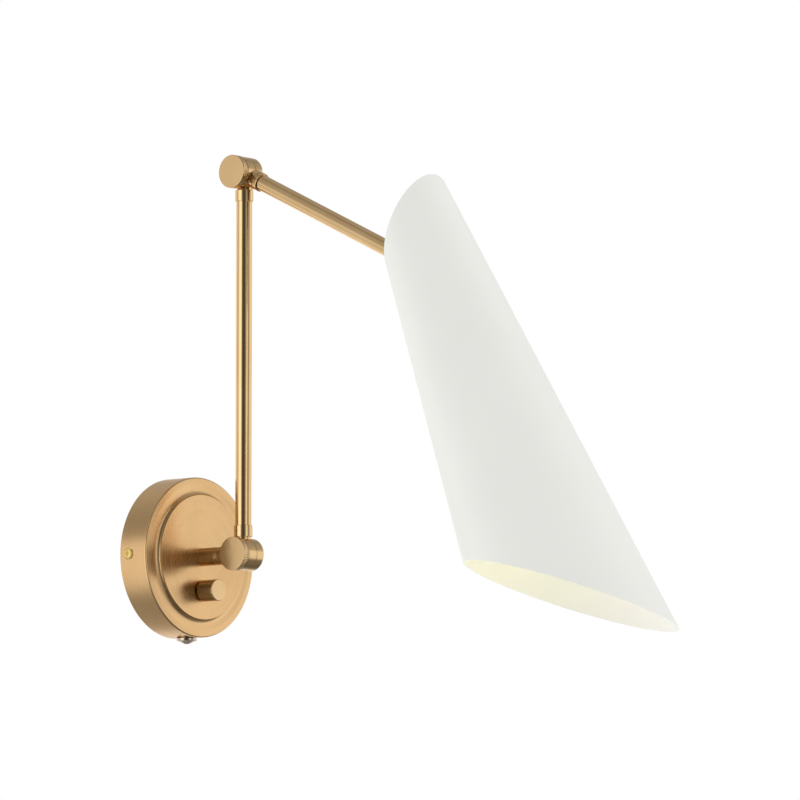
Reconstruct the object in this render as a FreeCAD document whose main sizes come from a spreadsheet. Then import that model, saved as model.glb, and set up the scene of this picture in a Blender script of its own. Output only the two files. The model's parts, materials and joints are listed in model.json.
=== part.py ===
import FreeCAD, Part

import math
import os
import re

import Sketcher
from FreeCAD import Placement, Rotation, Vector

# A wall light with two jointed brass arms and a long slant-cut cone shade.
# Row frame: the wall is the plane Y = 0, the light stands out of it along -Y and +Z is up.
# The origin is the centre of the wall bracket's back face. All sizes are millimetres and degrees.

SIZES = {
    # canopy: the round cover on the wall
    "canopy_radius": 60.0,
    "canopy_depth": 25.6,
    "canopy_wall": 1.2,
    "canopy_edge": 2.2,
    "disc_radius": 46.6,
    "disc_rise": 3.2,
    "cove_width": 3.4,
    # bracket behind the canopy
    "strap_half_width": 12.0,
    "strap_thickness": 1.5,
    "tab_out": 56.8,
    "tab_half_width": 8.0,
    "tab_reach": 14.0,
    "slot_spacing": 70.0,
    "slot_length": 16.0,
    "slot_radius": 2.5,
    "side_screw_out": 8.5,
    "side_dimple_radius": 4.4,
    "side_dimple_depth": 0.5,
    "machine_screw_radius": 2.0,
    "earth_offset": 19.0,
    # cable outlet under the canopy, closed by a plug
    "outlet_out": 12.5,
    "outlet_radius": 5.1,
    "plug_radius": 7.5,
    "plug_flange": 2.3,
    "plug_dome": 2.2,
    # rotary dimmer in the canopy's face
    "dimmer_drop": 25.3,
    "dimmer_radius": 11.5,
    "dimmer_length": 14.0,
    "bushing_radius": 3.5,
    "bushing_length": 5.4,
    "shaft_radius": 3.0,
    "knob_radius": 8.1,
    "knob_length": 14.4,
    "knob_gap": 1.4,
    "knob_wall": 1.5,
    # stem between canopy and lower knuckle
    "stem_radius": 6.75,
    "stem_post": 16.4,
    "stem_groove": 2.4,
    "nipple_radius": 5.0,
    "nipple_bore": 3.6,
    "nipple_tail": 12.0,
    # the two knuckles, each a pair of half barrels on one thumb screw
    "pivot_out": 69.0,
    "elbow_height": 286.0,
    "knuckle_radius": 12.2,
    "knuckle_half": 8.4,
    "knuckle_round": 1.6,
    "lower_seam": 1.8,
    "elbow_seam": -0.5,
    "half_gap": 0.15,
    "hub_radius": 5.5,
    "hollow_radius": 10.0,
    "hollow_depth": 6.0,
    "washer_radius": 5.4,
    "washer_bore": 3.35,
    "washer_thickness": 0.6,
    "neck_radius": 5.5,
    "neck_end": 17.4,
    "cap_gap": 0.3,
    "cap_radius": 12.45,
    "cap_length": 5.6,
    "cap_edge": 0.5,
    "pin_radius": 3.0,
    "pin_tip": 6.6,
    # arm tubes and the collars at their ends
    "tube_radius": 6.0,
    "tube_wall": 1.0,
    "collar_radius": 6.9,
    "collar_start": 12.9,
    "collar_end": 21.2,
    "collar_lip": 0.6,
    "lip_radius": 6.5,
    "collar_edge": 0.6,
    "cable_radius": 2.4,
    # upper arm and its twist joint
    "arm_drop": 26.0,
    "arm_reach": 211.0,
    "arm_turn": -15.8,
    "twist_gap": 0.4,
    "short_collar_end": 15.9,
    "twist_ring_end": 20.1,
    "twist_ring_radius": 7.1,
    "spigot_radius": 4.2,
    "spigot_end": 34.0,
    "bush_length": 9.0,
    "tube_stop": 14.0,
    # hinge inside the shade
    "lug_half": 2.5,
    "lug_radius": 6.5,
    "ear_inner": 3.6,
    "ear_outer": 6.1,
    "ear_radius": 7.0,
    "hinge_bolt_radius": 2.5,
    "yoke_base": 10.0,
    "yoke_base_radius": 9.0,
    "yoke_base_thickness": 3.8,
    # lamp holder and bulb
    "head_tilt": 30.5,
    "holder_radius": 13.6,
    "holder_end": 62.0,
    "holder_flange": 16.5,
    "holder_bore": 8.0,
    "holder_floor": 34.0,
    "sleeve_wall": 0.6,
    "bulb_cap_radius": 6.9,
    "bulb_shoulder": 62.6,
    "bulb_radius": 17.5,
    "bulb_length": 76.0,
    # shade: a cone cut by two slanted planes
    "cone_angle": 5.27,
    "apex_height": 384.8,
    "shade_wall": 1.0,
    "top_middle": 50.9,
    "top_slant": 39.4,
    "mouth_middle": 285.9,
    "mouth_slant": 44.0,
    "spider_level": 50.0,
    "spider_thickness": 1.5,
    "spider_arm_half": 4.0,
    # fits
    "fit": 0.05,
}

doc = FreeCAD.newDocument("WallLight")
sheet = doc.addObject("Spreadsheet::Sheet", "Dimensions")
for row, (alias, size) in enumerate(SIZES.items(), start=1):
    sheet.set("A%d" % row, alias)
    sheet.set("B%d" % row, str(size))
    sheet.setAlias("B%d" % row, alias)
doc.recompute()

NODES = []


def bound(text):
    """Turns a formula over the sheet's aliases into a FreeCAD expression."""
    return re.sub(r"[a-z_]+", lambda w: ("Dimensions." if w.group() in SIZES else "") + w.group(), str(text))


def number(text):
    """The formula's value now, used only to draw a sketch near its solution."""
    found = sheet.evalExpression(bound(text))
    return float(getattr(found, "Value", found))


def bind(thing, name, text):
    thing.setExpression(name, bound(text))


def new_body(label):
    body = doc.addObject("PartDesign::Body", label)
    body.Label = label
    return body


def new_sketch(body, plane, lift=None):
    """A sketch on one of the body's own origin planes, lifted along its normal."""
    sketch = body.newObject("Sketcher::SketchObject", body.Name + "_sketch")
    flat = [part for part in body.Origin.OriginFeatures if part.Role == plane][0]
    sketch.AttachmentSupport = [(flat, "")]
    sketch.MapMode = "FlatFace"
    if lift is not None:
        bind(sketch, "AttachmentOffset.Base.z", lift)
    return sketch


def pin_point(sketch, geometry, end, x, y):
    """Ties one point of a sketch to the origin by two bound distances."""
    for kind, text in (("DistanceX", x), ("DistanceY", y)):
        index = sketch.addConstraint(Sketcher.Constraint(kind, geometry, end, number(text)))
        sketch.setExpression("Constraints[%d]" % index, bound(text))


def arc_between(start, end, radius):
    """The short arc joining two points; a positive radius bends it to the left of the way from start to end."""
    chord = end - start
    left = Vector(-chord.y, chord.x, 0).normalize()
    rise = math.sqrt(max(radius * radius - chord.Length ** 2 / 4, 0.0))
    centre = (start + end) / 2 - left * math.copysign(rise, radius)
    ends = (end, start) if radius > 0 else (start, end)
    angles = [math.atan2(point.y - centre.y, point.x - centre.x) for point in ends]
    return Part.ArcOfCircle(Part.Circle(centre, Vector(0, 0, 1), abs(radius)), angles[0], angles[1])


def outline(sketch, corners):
    """A closed loop through corners (x, y); (x, y, radius) is reached by an arc from the corner before."""
    places = [Vector(number(corner[0]), number(corner[1]), 0) for corner in corners]
    edges = []
    for i, corner in enumerate(corners):
        start, end = places[i - 1], places[i]
        if len(corner) == 3:
            radius = number(corner[2])
            edge = sketch.addGeometry(arc_between(start, end, radius), False)
            ends = (2, 1) if radius > 0 else (1, 2)
            index = sketch.addConstraint(Sketcher.Constraint("Radius", edge, abs(radius)))
            sketch.setExpression("Constraints[%d]" % index, "abs(%s)" % bound(corner[2]))
        else:
            edge = sketch.addGeometry(Part.LineSegment(start, end), False)
            ends = (1, 2)
        edges.append((edge, ends))
    for i, corner in enumerate(corners):
        edge, ends = edges[i]
        following, next_ends = edges[(i + 1) % len(edges)]
        sketch.addConstraint(Sketcher.Constraint("Coincident", edge, ends[1], following, next_ends[0]))
        pin_point(sketch, edge, ends[1], corner[0], corner[1])


def circle(sketch, x, y, radius):
    drawn = Part.Circle(Vector(number(x), number(y), 0), Vector(0, 0, 1), number(radius))
    ring = sketch.addGeometry(drawn, False)
    index = sketch.addConstraint(Sketcher.Constraint("Radius", ring, number(radius)))
    sketch.setExpression("Constraints[%d]" % index, bound(radius))
    pin_point(sketch, ring, 3, x, y)


def rectangle(sketch, x0, y0, x1, y1):
    outline(sketch, [(x0, y0), (x1, y0), (x1, y1), (x0, y1)])


def slot(sketch, x, half_length, radius):
    """A slot along the sketch's X axis, centred on x; half_length runs to the far end of a round end."""
    left = "%s - %s + %s" % (x, half_length, radius)
    right = "%s + %s - %s" % (x, half_length, radius)
    outline(sketch, [
        (right, "-" + radius), ("%s + %s" % (right, radius), "0", "-" + radius), (right, radius, "-" + radius),
        (left, radius), ("%s - %s" % (left, radius), "0", "-" + radius), (left, "-" + radius, "-" + radius),
    ])


def turn(body, corners, axis="V_Axis", plane="XZ_Plane", cut=False):
    """Turns an outline of (radius, height) about the body's Z axis, as solid or as a cut."""
    sketch = new_sketch(body, plane)
    outline(sketch, corners)
    kind = "PartDesign::Groove" if cut else "PartDesign::Revolution"
    feature = body.newObject(kind, body.Name + ("_groove" if cut else "_turned"))
    feature.Profile = sketch
    feature.ReferenceAxis = (sketch, [axis])
    feature.Angle = 360.0
    return feature


def pad(body, sketch, length, both_ways=False, backwards=False):
    feature = body.newObject("PartDesign::Pad", body.Name + "_pad")
    feature.Profile = sketch
    bind(feature, "Length", length)
    feature.Midplane = both_ways
    feature.Reversed = backwards
    return feature


def pocket(body, sketch, both_ways=False, backwards=False, depth=None):
    feature = body.newObject("PartDesign::Pocket", body.Name + "_pocket")
    feature.Profile = sketch
    if depth is None:
        feature.Type = "ThroughAll"
    else:
        bind(feature, "Length", depth)
    feature.Midplane = both_ways
    feature.Reversed = backwards
    return feature


def place(thing, x="0", y="0", z="0", lean="0"):
    """Leans a piece about the row's X axis, then moves its own origin to (x, y, z)."""
    thing.Placement = Placement(Vector(0, 0, 0), Rotation(Vector(1, 0, 0), number(lean)))
    bind(thing, "Placement.Rotation.Angle", lean)
    for name, text in (("x", x), ("y", y), ("z", z)):
        bind(thing, "Placement.Base." + name, text)
    return thing


def place_turned(thing, y, z, axis, angle):
    """Turns a piece by angle about one of the row's axes, then with the upper arm about that arm's own line."""
    arm = "create(<<vector>>; 0; -cos(arm_drop); -sin(arm_drop))"
    turned = "create(<<rotation>>; %s; arm_turn) * create(<<rotation>>; create(<<vector>>; %s); %s)" % (arm, axis, angle)
    bind(thing, "Placement", "create(<<placement>>; create(<<vector>>; 0; %s; %s); %s)" % (y, z, turned))
    return thing


def keep(thing):
    NODES.append(thing)
    return thing


OUT = "90"                                   # leans a piece's own Z from up to straight out of the wall
DISC_FACE = "(canopy_depth + disc_rise)"
DISC_BACK = "(canopy_depth + disc_rise - canopy_wall)"
HEX = "1 / cos(30)"                          # from a hexagon's flat to its corner
ARM_LEAN = "(90 + arm_drop)"
HEAD_LEAN = "(180 - head_tilt)"
HEAD_Y = "(-pivot_out - arm_reach * cos(arm_drop))"
HEAD_Z = "(elbow_height - arm_reach * sin(arm_drop))"


def turned_piece(label, corners):
    body = new_body(label)
    turn(body, corners)
    return body


def tube_piece(label, outer, inner, start, end, edge=None):
    """A plain sleeve about Z; edge breaks its two outer corners."""
    if edge is None:
        corners = [(inner, start), (outer, start), (outer, end), (inner, end)]
    else:
        corners = [
            (inner, start), ("%s - %s" % (outer, edge), start), (outer, "%s + %s" % (start, edge)),
            (outer, "%s - %s" % (end, edge)), ("%s - %s" % (outer, edge), end), (inner, end),
        ]
    return turned_piece(label, corners)


def hexagon(sketch, flat, x="0", y="0"):
    """A hexagon by its half width over the flats."""
    corner = "(%s) * %s" % (flat, HEX)
    outline(sketch, [("%s + %s * cos(%d)" % (x, corner, a), "%s + %s * sin(%d)" % (y, corner, a))
                     for a in range(0, 360, 60)])


def nut_piece(label, flat, bore, start, length):
    body = new_body(label)
    face = new_sketch(body, "XY_Plane", start)
    hexagon(face, flat)
    pad(body, face, length)
    hole = new_sketch(body, "XY_Plane")
    circle(hole, "0", "0", bore)
    pocket(body, hole, both_ways=True)
    return body


def cross_recess(body, level, reach, width, depth):
    """Cuts a cross slot into a screw head that ends at level."""
    sketch = new_sketch(body, "XY_Plane", level)
    a, b = reach, width
    outline(sketch, [(a, "-" + b), (a, b), (b, b), (b, a), ("-" + b, a), ("-" + b, b), ("-" + a, b),
                     ("-" + a, "-" + b), ("-" + b, "-" + b), ("-" + b, "-" + a), (b, "-" + a), (b, "-" + b)])
    pocket(body, sketch, depth=depth)


def pan_screw(label, shank, head, start, seat, height):
    """A pan-head screw on Z: shank from start to seat, head above seat."""
    body = turned_piece(label, [
        ("0", start), ("%s - 0.3" % shank, start), (shank, "%s + 0.3" % start), (shank, seat), (head, seat),
        (head, "%s + %s * 0.45" % (seat, height)), ("%s * 0.55" % head, "%s + %s" % (seat, height), "-" + head),
        ("0", "%s + %s" % (seat, height)),
    ])
    cross_recess(body, "%s + %s" % (seat, height), "%s * 0.5" % head, "%s * 0.13" % head, "%s * 0.5" % height)
    return body


# ---------------------------------------------------------------- canopy and what it covers

def make_canopy():
    body = new_body("canopy")
    inner = "(canopy_radius - canopy_wall)"
    step = "(disc_radius + cove_width)"
    turn(body, [
        (inner, "0"), ("canopy_radius", "0"), ("canopy_radius", "canopy_depth - canopy_edge"),
        ("canopy_radius - canopy_edge", "canopy_depth", "-canopy_edge"), (step, "canopy_depth"),
        ("disc_radius", DISC_FACE, "cove_width * 1.3"), ("0", DISC_FACE), ("0", DISC_BACK),
        ("disc_radius - canopy_wall", DISC_BACK), ("disc_radius", "canopy_depth - canopy_wall"),
        (inner, "canopy_depth - canopy_wall"),
    ])
    face_holes = new_sketch(body, "XY_Plane")
    circle(face_holes, "0", "0", "nipple_radius + 0.1")
    circle(face_holes, "0", "-dimmer_drop", "bushing_radius + 0.1")
    pocket(body, face_holes, both_ways=True)
    side_holes = new_sketch(body, "YZ_Plane")
    circle(side_holes, "0", "side_screw_out", "machine_screw_radius + 0.25")
    pocket(body, side_holes, both_ways=True)
    for side in ("1", "-1"):
        dimple = new_sketch(body, "YZ_Plane", side + " * canopy_radius")
        circle(dimple, "0", "side_screw_out", "side_dimple_radius")
        pocket(body, dimple, depth="side_dimple_depth", backwards=side == "-1")
    outlet = new_sketch(body, "XZ_Plane")
    circle(outlet, "0", "outlet_out", "outlet_radius")
    pocket(body, outlet, backwards=True)
    return keep(place(body, lean=OUT))


def make_wall_bracket():
    body = new_body("wall_bracket")
    strap = new_sketch(body, "XY_Plane")
    rectangle(strap, "-tab_out", "-strap_half_width", "tab_out", "strap_half_width")
    pad(body, strap, "strap_thickness")
    for side in ("-1", "1"):
        tab = new_sketch(body, "XY_Plane")
        rectangle(tab, side + " * (tab_out - strap_thickness)", "-tab_half_width",
                  side + " * tab_out", "tab_half_width")
        pad(body, tab, "tab_reach")
    holes = new_sketch(body, "XY_Plane")
    for side in ("-", ""):
        slot(holes, side + "slot_spacing / 2", "slot_length / 2", "slot_radius")
    circle(holes, "-earth_offset", "0", "machine_screw_radius + fit")
    pocket(body, holes, both_ways=True)
    taps = new_sketch(body, "YZ_Plane")
    circle(taps, "0", "side_screw_out", "machine_screw_radius + fit")
    pocket(body, taps, both_ways=True)
    return keep(place(body, lean=OUT))


def make_canopy_screws():
    """Two screws at three and nine o'clock hold the canopy on the bracket's tabs."""
    seat = "(canopy_radius - side_dimple_depth)"
    screw = pan_screw("canopy_screw", "machine_screw_radius", "3.7", seat + " - 6", seat, "2.4")
    screw.Placement = Placement(Vector(0, 0, 0), Rotation(Vector(0, 1, 0), 90))
    bind(screw, "Placement.Base.y", "-side_screw_out")
    other = doc.addObject("Part::Mirroring", "canopy_screw_left")
    other.Source = screw
    other.Normal = (1, 0, 0)
    pair = doc.addObject("Part::Compound", "canopy_screws")
    pair.Links = [screw, other]
    return keep(pair)


def make_earth_terminal():
    washer = tube_piece("earth_washer", "4.4", "machine_screw_radius + 0.2", "strap_thickness",
                        "strap_thickness + 0.8")
    keep(place(washer, x="-earth_offset", lean=OUT))
    screw = pan_screw("earth_screw", "machine_screw_radius", "3.6", "fit", "(strap_thickness + 0.8)", "2.4")
    keep(place(screw, x="-earth_offset", lean=OUT))


def make_terminal_block():
    """Three ways: mains in on one side, lamp leads out on the other."""
    body = new_body("terminal_block")
    base = new_sketch(body, "XY_Plane", "strap_thickness")
    rectangle(base, "-13", "-7", "13", "7")
    pad(body, base, "12")
    wells = new_sketch(body, "XY_Plane", "strap_thickness + 12")
    for x in ("-8.5", "0", "8.5"):
        for y in ("-4", "4"):
            circle(wells, x, y, "2.1")
    pocket(body, wells, depth="5")
    entries = new_sketch(body, "XZ_Plane")
    for x in ("-8.5", "0", "8.5"):
        circle(entries, x, "strap_thickness + 4", "1.6")
    pocket(body, entries, both_ways=True)
    keep(place(body, lean=OUT))
    group = doc.addObject("Part::Compound", "terminal_screws")
    copies = []
    for x in (-8.5, 0.0, 8.5):
        for y in (-4.0, 4.0):
            copy = doc.addObject("Part::Cylinder", "terminal_screw")
            bind(copy, "Radius", "2.0")
            bind(copy, "Height", "2.5")
            copy.Placement.Base = Vector(x, y, 0)
            bind(copy, "Placement.Base.z", "strap_thickness + 8")
            copies.append(copy)
    group.Links = copies
    keep(place(group, lean=OUT))


def make_outlet_plug():
    """A polished plug screwed into the cable outlet under the canopy, with its nut inside."""
    seat = "(canopy_radius + fit)"
    top = "(%s + plug_flange + plug_dome)" % seat
    plug = turned_piece("outlet_plug", [
        ("0", "canopy_radius - 9"), ("4.7", "canopy_radius - 9"), ("outlet_radius - 0.1", "canopy_radius - 8.7"),
        ("outlet_radius - 0.1", seat), ("plug_radius - 0.5", seat), ("plug_radius", seat + " + 0.5", "-0.5"),
        ("plug_radius", seat + " + plug_flange - 0.6"),
        ("plug_radius - 0.6", seat + " + plug_flange", "-0.6"),
        ("plug_radius - 1.6", seat + " + plug_flange"), ("1.5", top), ("0", top),
    ])
    keep(place(plug, y="-outlet_out", lean="180"))
    nut = nut_piece("outlet_plug_nut", "7", "outlet_radius", "canopy_radius - canopy_wall - 4.8", "4.1")
    keep(place(nut, y="-outlet_out", lean="180"))


# ---------------------------------------------------------------- dimmer

def make_dimmer():
    body = turned_piece("dimmer_body", [
        ("shaft_radius + fit", DISC_BACK + " - dimmer_length"), ("dimmer_radius - 1", DISC_BACK + " - dimmer_length"),
        ("dimmer_radius", DISC_BACK + " - dimmer_length + 1"), ("dimmer_radius", DISC_BACK),
        ("bushing_radius", DISC_BACK), ("bushing_radius", DISC_FACE + " + bushing_length - canopy_wall"),
        ("shaft_radius + fit", DISC_FACE + " + bushing_length - canopy_wall"),
    ])
    keep(place(body, z="-dimmer_drop", lean=OUT))
    nut = nut_piece("dimmer_nut", "5", "bushing_radius + fit", DISC_FACE, "2")
    keep(place(nut, z="-dimmer_drop", lean=OUT))
    base = "(%s + knob_gap)" % DISC_FACE
    face = "(%s + knob_length)" % base
    shaft = turned_piece("dimmer_shaft", [
        ("0", DISC_BACK + " - dimmer_length + 2"), ("shaft_radius", DISC_BACK + " - dimmer_length + 2"),
        ("shaft_radius", face + " - 3"), ("0", face + " - 3"),
    ])
    keep(place(shaft, z="-dimmer_drop", lean=OUT))
    knob = turned_piece("dimmer_knob", [
        ("knob_radius - knob_wall", base), ("knob_radius", base), ("knob_radius", face + " - 0.4"),
        ("knob_radius - 0.4", face), ("0", face), ("0", face + " - 2.9"),
        ("shaft_radius + 0.02", face + " - 2.9"),
        ("shaft_radius + 0.02", base + " + 4.6"), ("knob_radius - knob_wall", base + " + 4.6"),
    ])
    grub = new_sketch(knob, "XZ_Plane")
    circle(grub, "0", base + " + 7.5", "1.5")
    pocket(knob, grub, backwards=True)
    keep(place(knob, z="-dimmer_drop", lean=OUT))
    screw = tube_piece("knob_grub_screw", "1.45", "0.6", "shaft_radius + 0.02", "knob_radius - 0.6", "0.15")
    keep(place(screw, y="-%s - 7.5" % base, z="-dimmer_drop", lean="180"))


# ---------------------------------------------------------------- stem

def make_stem():
    ring_start = "(%s + stem_post)" % DISC_FACE
    post = turned_piece("stem_post", [
        ("nipple_radius + fit", DISC_FACE), ("stem_radius", DISC_FACE), ("stem_radius", ring_start + " - 0.4"),
        ("stem_radius - 0.4", ring_start), ("stem_radius - 0.75", ring_start), ("stem_radius - 0.75", ring_start + " + 0.8"),
        ("stem_radius - 0.25", ring_start + " + 0.8"), ("stem_radius - 0.25", ring_start + " + 1.6"),
        ("stem_radius - 0.8", ring_start + " + 1.6"), ("stem_radius - 0.8", "pivot_out - neck_end - 0.2"),
        ("nipple_radius + fit", "pivot_out - neck_end - 0.2"),
    ])
    keep(place(post, lean=OUT))
    nipple = tube_piece("stem_nipple", "nipple_radius", "nipple_bore", DISC_FACE + " - nipple_tail",
                        DISC_FACE + " + stem_post", "0.4")
    keep(place(nipple, lean=OUT))
    washer = tube_piece("stem_lock_washer", "9", "nipple_radius + fit", DISC_BACK + " - 0.9", DISC_BACK)
    keep(place(washer, lean=OUT))
    nut = nut_piece("stem_nut", "7", "nipple_radius + fit", DISC_BACK + " - 5.4", "4.5")
    keep(place(nut, lean=OUT))


# ---------------------------------------------------------------- knuckles

def make_knuckle_half(label, side, seam, neck_radius, neck_end, height, lean):
    """Half of a knuckle on the X axis, beside its seam; side 1 is the +X half, which holds the pin's tip.
    The neck leaves it along its own Z, on the arm's middle plane."""
    def across(text):
        return "%s + %s * (%s)" % (seam, side, text)

    blind = side == "1"
    edge = "knuckle_round" if blind else "cap_edge"
    body = new_body(label)
    turn(body, [
        (across("half_gap"), "0"), (across("knuckle_half"), "0"), (across("knuckle_half"), "knuckle_radius - " + edge),
        (across("knuckle_half - " + edge), "knuckle_radius", "-1 * %s * %s" % (side, edge)),
        (across("half_gap"), "knuckle_radius"),
    ], axis="H_Axis", plane="XY_Plane")
    neck = new_sketch(body, "XY_Plane")
    circle(neck, "0", "0", neck_radius)
    pad(body, neck, neck_end)
    for corners in (
        [(across("half_gap"), "0"), (across("half_gap"), "knuckle_radius + 0.3"),
         (across("-knuckle_half - 1"), "knuckle_radius + 0.3"), (across("-knuckle_half - 1"), "0")],
        [(across("-half_gap"), "hub_radius"), (across("hollow_depth"), "hub_radius"),
         (across("hollow_depth"), "hollow_radius"), (across("-half_gap"), "hollow_radius")],
        [(across("-half_gap"), "0"), (across("pin_tip + 0.8") if blind else across("knuckle_half + 1"), "0"),
         (across("pin_tip + 0.8") if blind else across("knuckle_half + 1"), "pin_radius + fit"),
         (across("-half_gap"), "pin_radius + fit")],
        [(across("-half_gap"), "0"), (across("half_gap + washer_thickness / 2"), "0"),
         (across("half_gap + washer_thickness / 2"), "hub_radius + 0.2"), (across("-half_gap"), "hub_radius + 0.2")],
    ):
        turn(body, corners, axis="H_Axis", plane="XY_Plane", cut=True)
    bore = new_sketch(body, "XY_Plane", "hub_radius + 1.2")
    circle(bore, "0", "0", "cable_radius + 0.5")
    pocket(body, bore, backwards=True)
    return keep(place(body, y="-pivot_out", z=height, lean=lean))


def make_friction_washer(label, seam, height):
    """Sits in the recess between the two hubs and sets how firmly the knuckle turns."""
    body = new_body(label)
    turn(body, [
        ("half_gap + 0.3 - washer_thickness", "washer_bore"), ("half_gap + 0.3 - washer_thickness", "washer_radius"),
        ("half_gap + 0.3", "washer_radius"), ("half_gap + 0.3", "washer_bore"),
    ], axis="H_Axis", plane="XY_Plane")
    return keep(place(body, x=seam, y="-pivot_out", z=height))


def make_thumb_screw(label, seam, height):
    """A flat round knurled head with a plain shank that both halves turn on."""
    body = new_body(label)
    seat = "-(knuckle_half + cap_gap)"
    face = "-(knuckle_half + cap_gap + cap_length)"
    turn(body, [
        (face, "0"), (face, "cap_radius - cap_edge"), (face + " + cap_edge", "cap_radius"),
        (seat + " - cap_edge", "cap_radius"), (seat, "cap_radius - cap_edge"), (seat, "pin_radius"),
        ("pin_tip - 0.5", "pin_radius"), ("pin_tip", "pin_radius - 0.5"), ("pin_tip", "0"),
    ], axis="H_Axis", plane="XY_Plane")
    return keep(place(body, x=seam, y="-pivot_out", z=height))


# ---------------------------------------------------------------- arms

def collar_corners(end, bore):
    """Outline of a collar: narrow bore for the neck, wide bore for the tube, a small lip at its far end."""
    return [
        ("neck_radius + fit", "collar_start"), ("collar_radius - collar_edge", "collar_start"),
        ("collar_radius", "collar_start + collar_edge"), ("collar_radius", end + " - collar_edge / 2"),
        ("collar_radius - collar_edge / 2", end), ("lip_radius", end), ("lip_radius", end + " + collar_lip - 0.3"),
        ("lip_radius - 0.3", end + " + collar_lip"), (bore, end + " + collar_lip"), (bore, "neck_end + 0.1"),
        ("neck_radius + fit", "neck_end + 0.1"),
    ]


def make_collar(label, height, lean):
    body = turned_piece(label, collar_corners("collar_end", "tube_radius + 0.03"))
    return keep(place(body, y="-pivot_out", z=height, lean=lean))


def make_stem_collar():
    body = turned_piece("stem_collar", [
        ("neck_radius + fit", "collar_start"), ("collar_radius - collar_edge", "collar_start"),
        ("collar_radius", "collar_start + collar_edge"), ("collar_radius", "collar_end - 0.4"),
        ("collar_radius - 0.4", "collar_end"), ("stem_radius - 0.77", "collar_end"),
        ("stem_radius - 0.77", "neck_end + 0.1"), ("neck_radius + fit", "neck_end + 0.1"),
    ])
    return keep(place(body, y="-pivot_out", lean="-90"))


def make_lower_arm():
    tube = tube_piece("lower_arm_tube", "tube_radius", "tube_radius - tube_wall", "neck_end + 0.2",
                      "elbow_height - neck_end - 0.2")
    keep(place(tube, y="-pivot_out"))
    cable = turned_piece("lower_arm_cable", [("0", "neck_end + 2"), ("cable_radius", "neck_end + 2"),
                                             ("cable_radius", "elbow_height - neck_end - 2"),
                                             ("0", "elbow_height - neck_end - 2")])
    keep(place(cable, y="-pivot_out"))


def on_upper_arm(body):
    return keep(place(body, y="-pivot_out", z="elbow_height", lean=ARM_LEAN))


def make_upper_arm():
    """The ring and the tube twist together on the elbow's long spigot."""
    ring_start = "(short_collar_end + twist_gap)"
    on_upper_arm(tube_piece("twist_ring", "twist_ring_radius", "spigot_radius + fit", ring_start, ring_start + " + 1", "0.3"))
    on_upper_arm(turned_piece("twist_ferrule", [
        ("tube_radius + 0.03", ring_start + " + 1.05"), ("twist_ring_radius", ring_start + " + 1.05"),
        ("twist_ring_radius", "twist_ring_end - 0.4"), ("twist_ring_radius - 0.4", "twist_ring_end"),
        ("tube_radius + 0.03", "twist_ring_end"),
    ]))
    tube_start = "(%s + 1.05)" % ring_start
    on_upper_arm(tube_piece("upper_arm_tube", "tube_radius", "tube_radius - tube_wall", tube_start,
                            "arm_reach - tube_stop"))
    on_upper_arm(tube_piece("twist_bush", "tube_radius - tube_wall - 0.02", "spigot_radius + fit", tube_start,
                            tube_start + " + bush_length"))
    on_upper_arm(tube_piece("twist_clip", "spigot_radius + 0.5", "spigot_radius - 0.4",
                            tube_start + " + bush_length + 0.3", tube_start + " + bush_length + 1.1"))
    on_upper_arm(turned_piece("upper_arm_cable", [
        ("0", "spigot_end + 2"), ("cable_radius", "spigot_end + 2"),
        ("cable_radius", "arm_reach - tube_stop - 13"), ("0", "arm_reach - tube_stop - 13"),
    ]))
    lug = turned_piece("arm_tip_lug", [
        ("0", "arm_reach - tube_stop - 12"), ("tube_radius - tube_wall - 0.02", "arm_reach - tube_stop - 12"),
        ("tube_radius - tube_wall - 0.02", "arm_reach - tube_stop"), ("tube_radius", "arm_reach - tube_stop"),
        ("tube_radius", "arm_reach - tube_stop + 1.5"), ("lug_half + 1.2", "arm_reach - tube_stop + 3.5"),
        ("0", "arm_reach - tube_stop + 3.5"),
    ])
    tongue = new_sketch(lug, "YZ_Plane")
    outline(tongue, [
        ("-3.6", "arm_reach - tube_stop + 0.5"), ("3.6", "arm_reach - tube_stop + 0.5"),
        ("lug_radius", "arm_reach"), ("0", "arm_reach + lug_radius", "-lug_radius"),
        ("-lug_radius", "arm_reach", "-lug_radius"),
    ])
    pad(lug, tongue, "2 * lug_half", both_ways=True)
    eye = new_sketch(lug, "YZ_Plane")
    circle(eye, "0", "arm_reach", "hinge_bolt_radius + fit")
    pocket(lug, eye, both_ways=True)
    keep(place_turned(lug, "-pivot_out", "elbow_height", "1; 0; 0", ARM_LEAN))


def make_elbow_spigot(half):
    """The long spigot the upper arm twists on, with a groove for the clip that keeps the tube on."""
    turn(half, [
        ("cable_radius + 0.5", "short_collar_end - 1"), ("spigot_radius", "short_collar_end - 1"),
        ("spigot_radius", "spigot_end"), ("cable_radius + 0.5", "spigot_end"),
    ])
    turn(half, [
        ("collar_radius - collar_edge", "short_collar_end"), ("collar_radius + 0.5", "short_collar_end - collar_edge - 0.5"),
        ("collar_radius + 0.5", "short_collar_end"),
    ], cut=True)
    start = "(short_collar_end + twist_gap + 1.05 + bush_length + 0.2)"
    turn(half, [("spigot_radius - 0.42", start), ("spigot_radius + 1", start),
                ("spigot_radius + 1", start + " + 1"), ("spigot_radius - 0.42", start + " + 1")], cut=True)


# ---------------------------------------------------------------- lamp head, on its own Z down the shade's axis

def on_head(body):
    return keep(place_turned(body, HEAD_Y, HEAD_Z, "1; 0; 0", HEAD_LEAN))


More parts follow.
